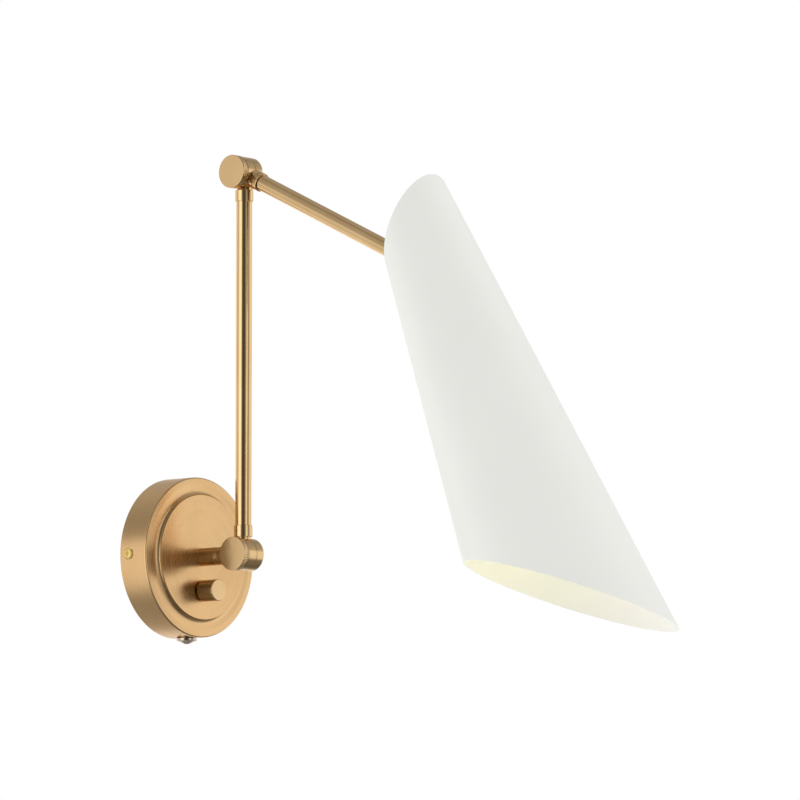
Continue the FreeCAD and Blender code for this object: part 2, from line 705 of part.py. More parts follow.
def make_yoke():
    body = turned_piece("head_yoke", [
        ("nipple_radius + fit", "yoke_base"), ("yoke_base_radius", "yoke_base"),
        ("yoke_base_radius", "yoke_base + yoke_base_thickness"), ("nipple_radius + fit", "yoke_base + yoke_base_thickness"),
    ])
    for side in ("1", "-1"):
        ear = new_sketch(body, "YZ_Plane", side + " * (ear_inner + ear_outer) / 2")
        outline(ear, [
            ("-ear_radius", "0"), ("0", "-ear_radius", "-ear_radius"), ("ear_radius", "0", "-ear_radius"),
            ("ear_radius - 0.8", "yoke_base + 2"), ("-ear_radius + 0.8", "yoke_base + 2"),
        ])
        pad(body, ear, "ear_outer - ear_inner", both_ways=True)
    eyes = new_sketch(body, "YZ_Plane")
    circle(eyes, "0", "0", "hinge_bolt_radius + fit")
    pocket(body, eyes, both_ways=True)
    bore = new_sketch(body, "XY_Plane", "yoke_base - 1.8")
    circle(bore, "0", "0", "nipple_radius + fit")
    pocket(body, bore, backwards=True)
    on_head(body)


def make_hinge_fasteners():
    def cross_axis(body):
        return keep(place_turned(body, HEAD_Y, HEAD_Z, "0; 1; 0", "90"))

    bolt = pan_screw("hinge_bolt", "hinge_bolt_radius", "4.6", "(-ear_outer - 4.6)", "ear_outer", "3")
    cross_axis(bolt)
    cross_axis(nut_piece("hinge_nut", "4", "hinge_bolt_radius + fit", "-ear_outer - 4", "4"))
    washers = []
    for side in ("1", "-1"):
        ring = doc.addObject("Part::Cut", "hinge_washer")
        disc = doc.addObject("Part::Cylinder", "hinge_washer_disc")
        hole = doc.addObject("Part::Cylinder", "hinge_washer_hole")
        for thing, radius in ((disc, "ear_radius - 1"), (hole, "hinge_bolt_radius + 0.1")):
            bind(thing, "Radius", radius)
            bind(thing, "Height", "ear_inner - lug_half - 0.3")
            bind(thing, "Placement.Base.z", side + " * (ear_inner + lug_half + 0.3) / 2 - (ear_inner - lug_half - 0.3) / 2")
        ring.Base, ring.Tool = disc, hole
        washers.append(ring)
    pair = doc.addObject("Part::Compound", "hinge_washers")
    pair.Links = washers
    cross_axis(pair)


def make_lamp_holder():
    top = "(yoke_base + yoke_base_thickness)"
    on_head(tube_piece("holder_nipple", "nipple_radius", "nipple_bore", "yoke_base - 1.5", top + " + 9", "0.3"))
    on_head(turned_piece("lamp_holder", [
        ("nipple_radius + fit", top), ("holder_radius - 3", top), ("holder_radius", top + " + 3", "-3"),
        ("holder_radius", "spider_level - 4"), ("holder_flange", "spider_level - 4"), ("holder_flange", "spider_level"),
        ("holder_radius", "spider_level"), ("holder_radius", "holder_end - 0.8"), ("holder_radius - 0.8", "holder_end"),
        ("holder_bore", "holder_end"), ("holder_bore", "holder_floor"), ("2.6", "holder_floor"),
        ("2.6", top + " + 12"), ("nipple_radius + fit", top + " + 12"),
    ]))
    on_head(tube_piece("socket_sleeve", "holder_bore - 0.02", "holder_bore - sleeve_wall", "holder_floor + 2", "holder_end - 1.5"))
    on_head(turned_piece("centre_contact", [
        ("0", "holder_floor - 3"), ("2.4", "holder_floor - 3"), ("2.4", "holder_floor + 1.6"),
        ("1.6", "holder_floor + 2.4"), ("0", "holder_floor + 2.4"),
    ]))
    start = "(spider_level + spider_thickness)"
    ring = tube_piece("shade_ring", "holder_flange + 1", "holder_radius + fit", start, start + " + 5", "0.5")
    on_head(ring)


def make_bulb():
    cap_start = "(holder_floor + 2.45)"
    on_head(turned_piece("bulb_cap", [
        ("0", cap_start), ("2.5", cap_start), ("bulb_cap_radius - 1", cap_start + " + 3"),
        ("bulb_cap_radius", cap_start + " + 4"), ("bulb_cap_radius", "bulb_shoulder"), ("0", "bulb_shoulder"),
    ]))
    widest = "(bulb_shoulder + bulb_length * 0.42)"
    tip = "(bulb_shoulder + bulb_length)"
    on_head(turned_piece("bulb_glass", [
        ("0", "bulb_shoulder + 0.02"), ("bulb_cap_radius + 0.6", "bulb_shoulder + 0.02"),
        ("bulb_radius", widest, "-bulb_length * 0.95"),
        ("bulb_radius * 0.42", tip + " - 5", "-bulb_length * 0.72"), ("2", tip, "-8"), ("0", tip),
    ]))


def cone_radius(level):
    return "((%s + apex_height) * tan(cone_angle))" % level


def make_shade():
    body = new_body("shade")
    skin = "shade_wall / cos(cone_angle)"
    low, high = "(mouth_middle + 90)", "(-top_middle - 40)"
    turn(body, [
        (cone_radius(high), high), (cone_radius(low), low),
        (cone_radius(low) + " - " + skin, low), (cone_radius(high) + " - " + skin, high),
    ])
    top = new_sketch(body, "YZ_Plane")
    outline(top, [
        ("-60", "-top_middle + 60 * tan(top_slant)"), ("60", "-top_middle - 60 * tan(top_slant)"),
        ("60", "-top_middle - 120"), ("-60", "-top_middle - 120"),
    ])
    pocket(body, top, both_ways=True)
    mouth = new_sketch(body, "YZ_Plane")
    outline(mouth, [
        ("-100", "mouth_middle - 100 * tan(mouth_slant)"), ("100", "mouth_middle + 100 * tan(mouth_slant)"),
        ("100", "mouth_middle + 180"), ("-100", "mouth_middle + 180"),
    ])
    pocket(body, mouth, both_ways=True)
    on_head(body)


def make_spider():
    """A hub on the lamp holder with three flat arms to the inside of the shade."""
    body = new_body("shade_spider")
    reach = "(%s - shade_wall / cos(cone_angle) - 0.35)" % cone_radius("spider_level")
    hub = new_sketch(body, "XY_Plane", "spider_level")
    circle(hub, "0", "0", "holder_flange + 2")
    pad(body, hub, "spider_thickness")
    arm = new_sketch(body, "XY_Plane", "spider_level")
    rectangle(arm, "0", "-spider_arm_half", reach, "spider_arm_half")
    arms = [pad(body, arm, "spider_thickness")]
    tab = new_sketch(body, "XY_Plane", "spider_level")
    rectangle(tab, reach + " - spider_thickness", "-spider_arm_half", reach, "spider_arm_half")
    arms.append(pad(body, tab, "9"))
    spread = body.newObject("PartDesign::PolarPattern", "spider_arms")
    spread.Originals = arms
    spread.Axis = (hub, ["N_Axis"])
    spread.Angle = 360.0
    spread.Occurrences = 3
    body.Tip = spread
    hole = new_sketch(body, "XY_Plane", "spider_level")
    circle(hole, "0", "0", "holder_radius + fit")
    pocket(body, hole, both_ways=True)
    on_head(body)


def make_all():
    make_canopy()
    make_wall_bracket()
    make_canopy_screws()
    make_earth_terminal()
    make_terminal_block()
    make_outlet_plug()
    make_dimmer()
    make_stem()
    make_stem_collar()
    make_knuckle_half("lower_knuckle_fixed", "1", "lower_seam", "neck_radius", "neck_end", "0", "-90")
    make_knuckle_half("lower_knuckle_moving", "-1", "lower_seam", "neck_radius", "neck_end", "0", "0")
    make_friction_washer("lower_friction_washer", "lower_seam", "0")
    make_thumb_screw("lower_thumb_screw", "lower_seam", "0")
    make_collar("lower_arm_bottom_collar", "0", "0")
    make_lower_arm()
    make_collar("lower_arm_top_collar", "elbow_height", "180")
    make_knuckle_half("elbow_fixed", "1", "elbow_seam", "neck_radius", "neck_end", "elbow_height", "180")
    make_friction_washer("elbow_friction_washer", "elbow_seam", "elbow_height")
    make_thumb_screw("elbow_thumb_screw", "elbow_seam", "elbow_height")
    make_elbow_spigot(make_knuckle_half("elbow_moving", "-1", "elbow_seam", "collar_radius", "short_collar_end",
                                        "elbow_height", ARM_LEAN))
    make_upper_arm()
    make_yoke()
    make_hinge_fasteners()
    make_lamp_holder()
    make_spider()
    make_shade()
    make_bulb()


def check_and_write():
    doc.recompute()
    broken = [thing.Name for thing in doc.Objects if {"Invalid", "Error"} & set(thing.State)]
    if broken:
        raise RuntimeError("failed objects: " + ", ".join(broken))
    os.makedirs("parts", exist_ok=True)
    for node in NODES:
        if node.Shape.isNull() or not node.Shape.isValid() or not node.Shape.Solids:
            raise RuntimeError("no valid solid in " + node.Label)
        node.Shape.exportStep("parts/%s.step" % node.Label)
        print("%-26s %2d solids %10.1f mm3" % (node.Label, len(node.Shape.Solids), node.Shape.Volume))


make_all()
check_and_write()
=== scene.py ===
import json
import math

import bmesh
import bpy
from mathutils import Matrix, Vector


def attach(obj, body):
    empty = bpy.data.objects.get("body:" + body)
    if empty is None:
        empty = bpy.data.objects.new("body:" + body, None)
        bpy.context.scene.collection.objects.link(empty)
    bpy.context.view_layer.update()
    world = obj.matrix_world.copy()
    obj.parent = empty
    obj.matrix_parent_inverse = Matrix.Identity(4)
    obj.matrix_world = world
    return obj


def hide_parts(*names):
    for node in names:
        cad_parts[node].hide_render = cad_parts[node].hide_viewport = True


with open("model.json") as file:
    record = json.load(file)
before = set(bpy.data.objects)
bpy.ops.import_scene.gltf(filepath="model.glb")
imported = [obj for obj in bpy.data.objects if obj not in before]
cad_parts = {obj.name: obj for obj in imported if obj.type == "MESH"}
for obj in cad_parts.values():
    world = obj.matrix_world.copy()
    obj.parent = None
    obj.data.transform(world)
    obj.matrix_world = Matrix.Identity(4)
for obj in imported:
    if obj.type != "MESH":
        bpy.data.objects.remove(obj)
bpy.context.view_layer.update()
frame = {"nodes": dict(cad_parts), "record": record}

scene = bpy.context.scene
MM = 0.001

# ------------------------------------------------------------------ sizes in mm, as in the CAD model

PIVOT_OUT = 69.0
ELBOW_UP = 286.0
ARM_REACH = 211.0
ARM_DROP = math.radians(26.0)
ARM_TURN = math.radians(-15.8)
HEAD_TILT = math.radians(30.5)
HINGE = (0.0, -PIVOT_OUT - ARM_REACH * math.cos(ARM_DROP), ELBOW_UP - ARM_REACH * math.sin(ARM_DROP))

CANOPY_R = 60.0
CANOPY_SKIN = 1.2
RIM_FACE = 25.6                 # height of the canopy's outer ring above the wall
DISC_FACE = 28.8                # height of its raised disc
DISC_R = 46.7
KNOB_DOWN = 25.3
SIDE_SCREW_OUT = 8.5

KNUCKLE_R = 12.2
KNUCKLE_HALF = 8.4
LOWER_SEAM = 1.8                # how far each knuckle's parting line stands to +X of the arms' plane
ELBOW_SEAM = -0.5
PIN_R = 3.05
NECK_R = 5.5
CAP_R = 12.45
CAP_LENGTH = 5.6
CAP_GAP = 0.3
KNURLS = 60
KNURL_DEPTH = 0.2

TUBE_R = 6.0
TUBE_BORE = 5.0
TUBE_FIT = 6.03
COLLAR_R = 6.9
RING_R = 7.1

TOP_SLANT = math.tan(math.radians(39.4))
MOUTH_SLANT = math.tan(math.radians(44.0))
CONE = math.tan(math.radians(5.27))
APEX_UP = 384.8                 # from the hinge up to the point where the shade's cone would close
TOP_MIDDLE = -50.9              # where the two cuts cross the shade's axis, measured down from the hinge
MOUTH_MIDDLE = 285.9
SHADE_WALL = 1.0
SHADE_LIP = 0.3

HOLDER_R = 13.6
BULB_SEAT = 62.62
BULB_LENGTH = 76.0
BULB_R = 17.5
BULB_NECK_R = 7.5
CAP_THREAD_R = 6.9


def frame_at(x, y, z, lean):
    """A piece's own frame: leaned about X by lean degrees, origin at (x, y, z) mm."""
    return Matrix.Translation(Vector((x, y, z))) @ Matrix.Rotation(math.radians(lean), 4, "X")


ACROSS = Matrix.Rotation(math.radians(90), 4, "Y")                 # own Z along the row's +X
WALL = frame_at(0, 0, 0, 90)                                       # own Z straight out of the wall
KNOB = frame_at(0, 0, -KNOB_DOWN, 90)
PLUG = frame_at(0, -12.5, 0, 180)
STEM_END = frame_at(0, -PIVOT_OUT, 0, -90)
LOWER = frame_at(0, -PIVOT_OUT, 0, 0)
ELBOW_DOWN = frame_at(0, -PIVOT_OUT, ELBOW_UP, 180)
UPPER = frame_at(0, -PIVOT_OUT, ELBOW_UP, 90 + math.degrees(ARM_DROP))
ARM_LINE = Vector((0, -math.cos(ARM_DROP), -math.sin(ARM_DROP)))
HEAD = (Matrix.Translation(Vector(HINGE)) @ Matrix.Rotation(ARM_TURN, 4, ARM_LINE)
        @ Matrix.Rotation(math.pi - HEAD_TILT, 4, "X"))
LOW_AXIS = Matrix.Translation(Vector((LOWER_SEAM, -PIVOT_OUT, 0))) @ ACROSS
HIGH_AXIS = Matrix.Translation(Vector((ELBOW_SEAM, -PIVOT_OUT, ELBOW_UP))) @ ACROSS
SIDE_SCREWS = Matrix.Translation(Vector((0, -SIDE_SCREW_OUT, 0))) @ ACROSS


# ------------------------------------------------------------------ materials

class Graph:
    """Small helper that adds nodes to a material and wires them up."""

    def __init__(self, name):
        self.material = bpy.data.materials.new(name)
        self.material.use_nodes = True
        self.tree = self.material.node_tree
        self.tree.nodes.clear()

    def node(self, kind, settings=None, **inputs):
        made = self.tree.nodes.new(kind)
        for key, value in (settings or {}).items():
            setattr(made, key, value)
        for key, value in inputs.items():
            self.put(made, key.replace("_", " "), value)
        return made

    def put(self, made, key, value):
        socket = made.inputs[int(key)] if key.isdigit() else made.inputs[key]
        if isinstance(value, bpy.types.NodeSocket):
            self.tree.links.new(value, socket)
        else:
            socket.default_value = value

    def math(self, operation, a, b=0.0):
        made = self.node("ShaderNodeMath", {"operation": operation})
        self.put(made, "0", a)
        self.put(made, "1", b)
        return made.outputs[0]

    def spread(self, value, low, high, to_low=0.0, to_high=1.0):
        made = self.node("ShaderNodeMapRange", From_Min=low, From_Max=high, To_Min=to_low, To_Max=to_high)
        self.put(made, "Value", value)
        return made.outputs[0]

    def noise(self, vector, scale, detail=2.0, rough=0.5):
        made = self.node("ShaderNodeTexNoise", Vector=vector, Scale=scale, Detail=detail, Roughness=rough)
        return made.outputs["Fac"]

    def tint(self, factor, first, second):
        made = self.node("ShaderNodeMix", {"data_type": "RGBA"})
        self.put(made, "0", factor)
        self.put(made, "6", first)
        self.put(made, "7", second)
        return made.outputs[2]

    def where(self):
        """Position in the row frame, in mm, whatever pose the piece is in."""
        coords = self.node("ShaderNodeTexCoord").outputs["Object"]
        made = self.node("ShaderNodeVectorMath", {"operation": "SCALE"}, Scale=1000.0)
        self.put(made, "0", coords)
        return made.outputs[0]

    def bump(self, height, distance):
        """Surface relief from a height of 0 to 1; distance is its full depth in metres."""
        return self.node("ShaderNodeBump", Height=height, Distance=distance, Strength=1.0).outputs[0]

    def finish(self, **inputs):
        shader = self.node("ShaderNodeBsdfPrincipled", **inputs)
        out = self.node("ShaderNodeOutputMaterial")
        self.tree.links.new(shader.outputs[0], out.inputs[0])
        return self.material


def srgb(r, g, b):
    def lin(v):
        v = v / 255
        return v / 12.92 if v <= 0.04045 else ((v + 0.055) / 1.055) ** 2.4
    return (lin(r), lin(g), lin(b), 1.0)


BRASS_LIGHT = srgb(250, 214, 160)
BRASS_DEEP = srgb(240, 200, 144)
BRASS_WARM = (srgb(244, 198, 140), srgb(253, 211, 154))


def turned_brass(name, home, along=False, rough=0.3, streak=0.5, anisotropy=0.65,
                 tones=(BRASS_DEEP, BRASS_LIGHT)):
    """Lacquered satin brass brushed round the axis of the piece's own frame, or along it for a drawn tube."""
    g = Graph(name)
    place = g.where()
    back = home.inverted()
    local = g.node("ShaderNodeMapping", {"vector_type": "POINT"}, Vector=place,
                   Location=back.to_translation(), Rotation=back.to_euler()).outputs[0]
    parts = g.node("ShaderNodeSeparateXYZ", Vector=local).outputs
    angle = g.math("ARCTAN2", parts[1], parts[0])
    flat = g.node("ShaderNodeCombineXYZ", X=parts[0], Y=parts[1])
    radius = g.node("ShaderNodeVectorMath", {"operation": "LENGTH"})
    g.put(radius, "0", flat.outputs[0])
    radius = radius.outputs["Value"]
    if along:
        lines = g.node("ShaderNodeCombineXYZ", X=g.math("MULTIPLY", angle, 26.0),
                       Y=g.math("MULTIPLY", parts[2], 0.02))
    else:
        lines = g.node("ShaderNodeCombineXYZ", X=g.math("MULTIPLY", radius, 5.0),
                       Y=g.math("MULTIPLY", parts[2], 5.0), Z=g.math("MULTIPLY", angle, 0.35))
    fine = g.noise(lines.outputs[0], 1.6, 4.0, 0.65)
    broad = g.noise(lines.outputs[0], 0.35, 2.0, 0.5)
    cloud = g.noise(place, 0.035, 3.0, 0.5)
    colour = g.tint(g.spread(g.math("ADD", fine, cloud), 0.7, 1.3), *tones)
    shine = g.math("ADD", g.spread(fine, 0.3, 0.7, rough - 0.06 * streak, rough + 0.08 * streak),
                   g.spread(broad, 0.3, 0.7, -0.02, 0.03))
    around = g.node("ShaderNodeCombineXYZ", X=g.math("MULTIPLY", parts[1], -1.0), Y=parts[0])
    turn = home.to_3x3().to_4x4()
    tangent = g.node("ShaderNodeMapping", {"vector_type": "VECTOR"}, Vector=around.outputs[0],
                     Rotation=turn.to_euler()).outputs[0]
    tangent = g.node("ShaderNodeVectorTransform", {"vector_type": "VECTOR", "convert_from": "OBJECT",
                                                   "convert_to": "WORLD"}, Vector=tangent).outputs[0]
    relief = g.bump(fine, 0.0000035 * streak)
    return g.finish(Base_Color=colour, Metallic=1.0, Roughness=shine, Anisotropic=anisotropy,
                    Anisotropic_Rotation=0.25, Tangent=tangent, Normal=relief)


def plain_metal(name, colour, rough, grain=0.06, scale=1.4):
    """Metal with a fine uneven shine and faint patches of tone."""
    g = Graph(name)
    place = g.where()
    fine = g.noise(place, scale, 5.0, 0.6)
    patch = g.noise(place, scale * 0.12, 2.0, 0.5)
    dark = tuple(c * 0.86 for c in colour[:3]) + (1.0,)
    mix = g.tint(g.spread(patch, 0.35, 0.65), dark, colour)
    shine = g.spread(fine, 0.3, 0.7, rough - grain, rough + grain)
    return g.finish(Base_Color=mix, Metallic=1.0, Roughness=shine, Normal=g.bump(fine, 0.000004))


def moulded(name, colour, rough, grain=1.8, depth=0.00002, metal=0.0, coat=0.0):
    """Moulded or plated surface with a fine grain; depth is the grain's height in metres."""
    g = Graph(name)
    place = g.where()
    fine = g.noise(place, grain, 4.0, 0.6)
    patch = g.noise(place, 0.05, 2.0, 0.5)
    dark = tuple(c * 0.88 for c in colour[:3]) + (1.0,)
    mix = g.tint(g.spread(patch, 0.35, 0.65), dark, colour)
    shine = g.spread(fine, 0.3, 0.7, rough - 0.05, rough + 0.07)
    return g.finish(Base_Color=mix, Metallic=metal, Roughness=shine, Coat_Weight=coat,
                    Normal=g.bump(fine, depth))


def satin_paint(name, colour, rough):
    """Sprayed satin paint: even colour, faint cloudiness and a very fine orange peel."""
    g = Graph(name)
    place = g.where()
    peel = g.noise(place, 0.9, 3.0, 0.5)
    cloud = g.noise(place, 0.012, 2.0, 0.5)
    dim = tuple(c * 0.985 for c in colour[:3]) + (1.0,)
    mix = g.tint(g.spread(cloud, 0.35, 0.65), dim, colour)
    return g.finish(Base_Color=mix, Roughness=g.spread(peel, 0.3, 0.7, rough - 0.04, rough + 0.05),
                    Specular_IOR_Level=0.35, Normal=g.bump(peel, 0.000006))


def opal(name, colour, glow):
    """Opal glass that glows, which lights the inside of the shade."""
    g = Graph(name)
    cloud = g.noise(g.where(), 0.05, 3.0, 0.5)
    mix = g.tint(g.spread(cloud, 0.3, 0.7), tuple(c * 0.95 for c in colour[:3]) + (1.0,), colour)
    return g.finish(Base_Color=mix, Roughness=0.35, Subsurface_Weight=0.3, Emission_Color=srgb(246, 250, 214),
                    Emission_Strength=glow)


# ------------------------------------------------------------------ mesh building

SHARP_EDGE = 35.0               # degrees between faces that make an edge sharp
ON_AXIS = 1e-6                  # a smaller radius counts as a point on the axis


def rounded(corners, closed):
    """Rounds each (r, z, fillet) corner of an outline with a short arc."""
    points = []
    steps = 5
    count = len(corners)
    for i, corner in enumerate(corners):
        here = Vector(corner[:2])
        fillet = corner[2] if len(corner) > 2 else 0.0
        ends = not closed and i in (0, count - 1)
        if fillet <= 0 or ends:
            points.append(here)
            continue
        before = Vector(corners[i - 1][:2]) - here
        after = Vector(corners[(i + 1) % count][:2]) - here
        half = before.angle(after) / 2
        reach = min(fillet / math.tan(half), before.length * 0.49, after.length * 0.49)
        start, end = here + before.normalized() * reach, here + after.normalized() * reach
        for k in range(steps + 1):
            t = k / steps
            points.append(start * (1 - t) ** 2 + here * 2 * t * (1 - t) + end * t ** 2)
    return points


def finish_mesh(name, bm, home, body, nodes, materials, sharp=SHARP_EDGE):
    """Puts a mesh into the row frame in metres, smooths it, ties it to its body and hides the CAD nodes it
    stands in for.
    """
    bmesh.ops.remove_doubles(bm, verts=bm.verts, dist=1e-4)
    bmesh.ops.recalc_face_normals(bm, faces=bm.faces)
    for face in bm.faces:
        face.smooth = True
    mesh = bpy.data.meshes.new(name)
    bm.to_mesh(mesh)
    bm.free()
    mesh.transform(Matrix.Scale(MM, 4) @ home)
    mesh.set_sharp_from_angle(angle=math.radians(sharp))
    piece = bpy.data.objects.new(name, mesh)
    scene.collection.objects.link(piece)
    for material in materials:
        mesh.materials.append(material)
    weighted = piece.modifiers.new("weighted", "WEIGHTED_NORMAL")
    weighted.keep_sharp = True
    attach(piece, body)
    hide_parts(*nodes)
    return piece


def spin(bm, points, closed, segments, shape=None):
    """Turns an outline of (r, z) points about Z. shape(angle, r, z) may move a point's radius."""
    rings = []
    for r, z in points:
        if r < ON_AXIS:
            rings.append([bm.verts.new((0, 0, z))] * segments)
            continue
        ring = []
        for k in range(segments):
            angle = 2 * math.pi * k / segments
            use = shape(angle, r, z) if shape else r
            ring.append(bm.verts.new((use * math.cos(angle), use * math.sin(angle), z)))
        rings.append(ring)
    pairs = list(zip(rings, rings[1:]))
    if closed:
        pairs.append((rings[-1], rings[0]))
    for low, high in pairs:
        for k in range(segments):
            n = (k + 1) % segments
            corners = []
            for vert in (low[k], low[n], high[n], high[k]):
                if vert not in corners:
                    corners.append(vert)
            if len(corners) > 2:
                bm.faces.new(corners)


def lathe(name, corners, home, body, nodes, materials, segments=96, closed=True, shape=None, extra=None):
    """A turned piece from its (r, z, fillet) outline; extra(bm) may add more to the mesh."""
    bm = bmesh.new()
    looped = closed and not (corners[0][0] < ON_AXIS and corners[-1][0] < ON_AXIS)
    spin(bm, rounded(corners, looped), looped, segments, shape)
    if extra:
        extra(bm)
    return finish_mesh(name, bm, home, body, nodes, materials)


def cove(r0, z0, r1, z1, steps=8):
    """Hollow quarter curve from (r0, z0) to (r1, z1), leaving the first point level."""
    turns = [math.pi / 2 * k / steps for k in range(steps + 1)]
    return [(r0 + (r1 - r0) * math.sin(turn), z1 + (z0 - z1) * math.cos(turn)) for turn in turns]


# ------------------------------------------------------------------ the materials in use

brass_wall = turned_brass("brass_canopy", WALL, rough=0.26, streak=1.0, anisotropy=0.7, tones=BRASS_WARM)
brass_stem = turned_brass("brass_stem", WALL, rough=0.20, streak=0.6, anisotropy=0.5)
brass_knob = turned_brass("brass_knob", KNOB, rough=0.22, streak=0.6, anisotropy=0.5)
brass_low_axis = turned_brass("brass_lower_knuckle", LOW_AXIS, rough=0.19, streak=0.25, anisotropy=0.4)
brass_high_axis = turned_brass("brass_elbow", HIGH_AXIS, rough=0.15, streak=0.2, anisotropy=0.4)
brass_lower = turned_brass("brass_lower_arm", LOWER, along=True, rough=0.12, streak=0.4, anisotropy=0.4)
brass_upper = turned_brass("brass_upper_arm", UPPER, along=True, rough=0.13, streak=0.4, anisotropy=0.4)
brass_head = plain_metal("brass_head", BRASS_LIGHT, 0.3)
bright_brass = moulded("bright_brass", srgb(255, 228, 134), 0.3, grain=1.4, depth=0.000004, metal=0.3)
polished = plain_metal("polished_plug", srgb(226, 204, 184), 0.05, grain=0.015)
zinc = plain_metal("zinc_steel", srgb(186, 188, 190), 0.34, grain=0.1, scale=2.2)
paint = satin_paint("white_paint", srgb(243, 244, 238), 0.42)
paint_inside = satin_paint("white_paint_inside", srgb(246, 244, 238), 0.5)
black = moulded("black_plastic", srgb(34, 34, 36), 0.45)
cream = moulded("white_plastic", srgb(228, 224, 212), 0.32, grain=0.8, depth=0.00001, coat=0.2)
sheath = moulded("cable_sheath", srgb(226, 223, 214), 0.42, grain=0.6)
fibre = moulded("fibre_washer", srgb(120, 52, 34), 0.7, grain=4.0)
glass = opal("opal_glass", srgb(250, 248, 240), 5.4)
floor_paint = satin_paint("floor_paint", srgb(244, 244, 242), 0.6)

BY_SLOT = {
    "satin_brass": brass_head, "polished_plug": polished, "bright_brass": bright_brass, "white_paint": paint,
    "zinc_steel": zinc, "black_plastic": black, "white_plastic": cream, "cable_sheath": sheath,
    "fibre": fibre, "opal_glass": glass,
}
for part in frame["record"]["subparts"]:
    mesh = frame["nodes"][part["node"]].data
    mesh.materials.clear()
    mesh.materials.append(BY_SLOT[part["material_slot"]])


# ------------------------------------------------------------------ pieces on the wall

def screw_recesses(piece, places):
    """Cuts shallow round recesses into a finished piece; places are (matrix, radius, depth)."""
    bm = bmesh.new()
    for matrix, radius, depth in places:
        made = bmesh.ops.create_cone(bm, cap_ends=True, segments=48, radius1=radius, radius2=radius,
                                     depth=depth)
        bmesh.ops.transform(bm, matrix=Matrix.Scale(MM, 4) @ matrix, verts=made["verts"])
    mesh = bpy.data.meshes.new("cutter")
    bm.to_mesh(mesh)
    bm.free()
    cutter = bpy.data.objects.new("cutter", mesh)
    scene.collection.objects.link(cutter)
    trim = piece.modifiers.new("recesses", "BOOLEAN")
    trim.object = cutter
    trim.solver = "EXACT"
    piece.modifiers.move(len(piece.modifiers) - 1, 0)
    weighted = piece.modifiers["weighted"]
    weighted.show_viewport = False
    bpy.context.view_layer.update()
    cut = bpy.data.meshes.new_from_object(piece.evaluated_get(bpy.context.evaluated_depsgraph_get()))
    weighted.show_viewport = True
    piece.modifiers.remove(trim)
    bpy.data.objects.remove(cutter)
    cut.set_sharp_from_angle(angle=math.radians(SHARP_EDGE))
    piece.data = cut


def make_canopy():
    inner_r = CANOPY_R - CANOPY_SKIN
    under_disc = DISC_FACE - CANOPY_SKIN
    under_rim = RIM_FACE - CANOPY_SKIN
    bore = 3.65
    outline = [(inner_r, 0), (CANOPY_R, 0, 0.2), (CANOPY_R, RIM_FACE, 1.3), (55, RIM_FACE + 0.15, 6.0),
               (51.2, RIM_FACE, 0.4)]
    outline += cove(50.2, RIM_FACE, DISC_R, DISC_FACE - 0.5)
    outline += [(DISC_R, DISC_FACE, 0.35), (bore, DISC_FACE), (bore, under_disc), (DISC_R - 1.3, under_disc),
                (DISC_R - 0.1, under_rim), (inner_r, under_rim)]
    cover = lathe("canopy_cover", outline, WALL, "wall_mount", ["canopy"], [brass_wall], segments=192)
    sides = [(Matrix.Translation(Vector((x, -SIDE_SCREW_OUT, 0))) @ ACROSS, 4.5, 2.0)
             for x in (-CANOPY_R, CANOPY_R)]
    screw_recesses(cover, sides)


def cross_head(bm, radius, seat, height, reach, width, depth):
    """A low domed screw head with a cross recess, standing on seat."""
    rings = 10
    spokes = 96
    grid = []
    for i in range(1, rings + 1):
        r = radius * math.sin(math.pi / 2 * i / rings)
        dome = seat + height * (0.5 + 0.5 * math.sqrt(max(0.0, 1 - (r / radius) ** 2)))
        row = []
        for k in range(spokes):
            a = 2 * math.pi * k / spokes
            x, y = r * math.cos(a), r * math.sin(a)
            in_cross = (abs(x) < reach and abs(y) < width) or (abs(y) < reach and abs(x) < width)
            row.append(bm.verts.new((x, y, dome - (depth if in_cross else 0.0))))
        grid.append(row)
    centre = bm.verts.new((0, 0, seat + height - depth))
    turns = [2 * math.pi * k / spokes for k in range(spokes)]
    base = [bm.verts.new((radius * math.cos(turn), radius * math.sin(turn), seat)) for turn in turns]
    grid.append(base)
    for k in range(spokes):
        n = (k + 1) % spokes
        bm.faces.new((centre, grid[0][k], grid[0][n]))
        for low, high in zip(grid, grid[1:]):
            bm.faces.new((low[k], low[n], high[n], high[k]))
    bm.faces.new(list(reversed(base)))


def make_side_screws():
    """The two cross-head screws through the canopy's side, one mesh for the one CAD node."""
    bm = bmesh.new()
    for side in (1, -1):
        part = bmesh.new()
        cross_head(part, radius=3.6, seat=59.5, height=2.3, reach=1.9, width=0.5, depth=1.1)
        spin(part, rounded([(0, 53.4), (2.0, 53.4, 0.3), (2.0, 59.6), (0, 59.6)], False), False, 32)
        if side < 0:
            bmesh.ops.rotate(part, verts=part.verts, matrix=Matrix.Rotation(math.pi, 3, "X"))
        mesh = bpy.data.meshes.new("part")
        part.to_mesh(mesh)
        part.free()
        bm.from_mesh(mesh)
        bpy.data.meshes.remove(mesh)
    finish_mesh("side_screws", bm, SIDE_SCREWS, "wall_mount", ["canopy_screws"], [bright_brass])


def make_plug():
    outline = [(0, 51), (5.0, 51, 0.3), (5.0, CANOPY_R), (7.5, CANOPY_R + 0.05, 0.3),
               (7.5, 62.35, 0.7), (6.3, 62.35, 0.5), (1.6, 64.5, 1.2), (0, 64.55)]
    lathe("outlet_cap", outline, PLUG, "wall_mount", ["outlet_plug"], [polished])


def make_knob():
    back = DISC_FACE + 1.4
    face = back + 14.4
    bore = 3.02
    outline = [(6.6, back), (8.1, back, 0.3), (8.1, face, 0.7), (0, face), (0, face - 2.9),
               (bore, face - 2.9), (bore, back + 4.6), (6.6, back + 4.6, 0.4)]
    lathe("dimmer_cap", outline, KNOB, "dimmer", ["dimmer_knob"], [brass_knob])


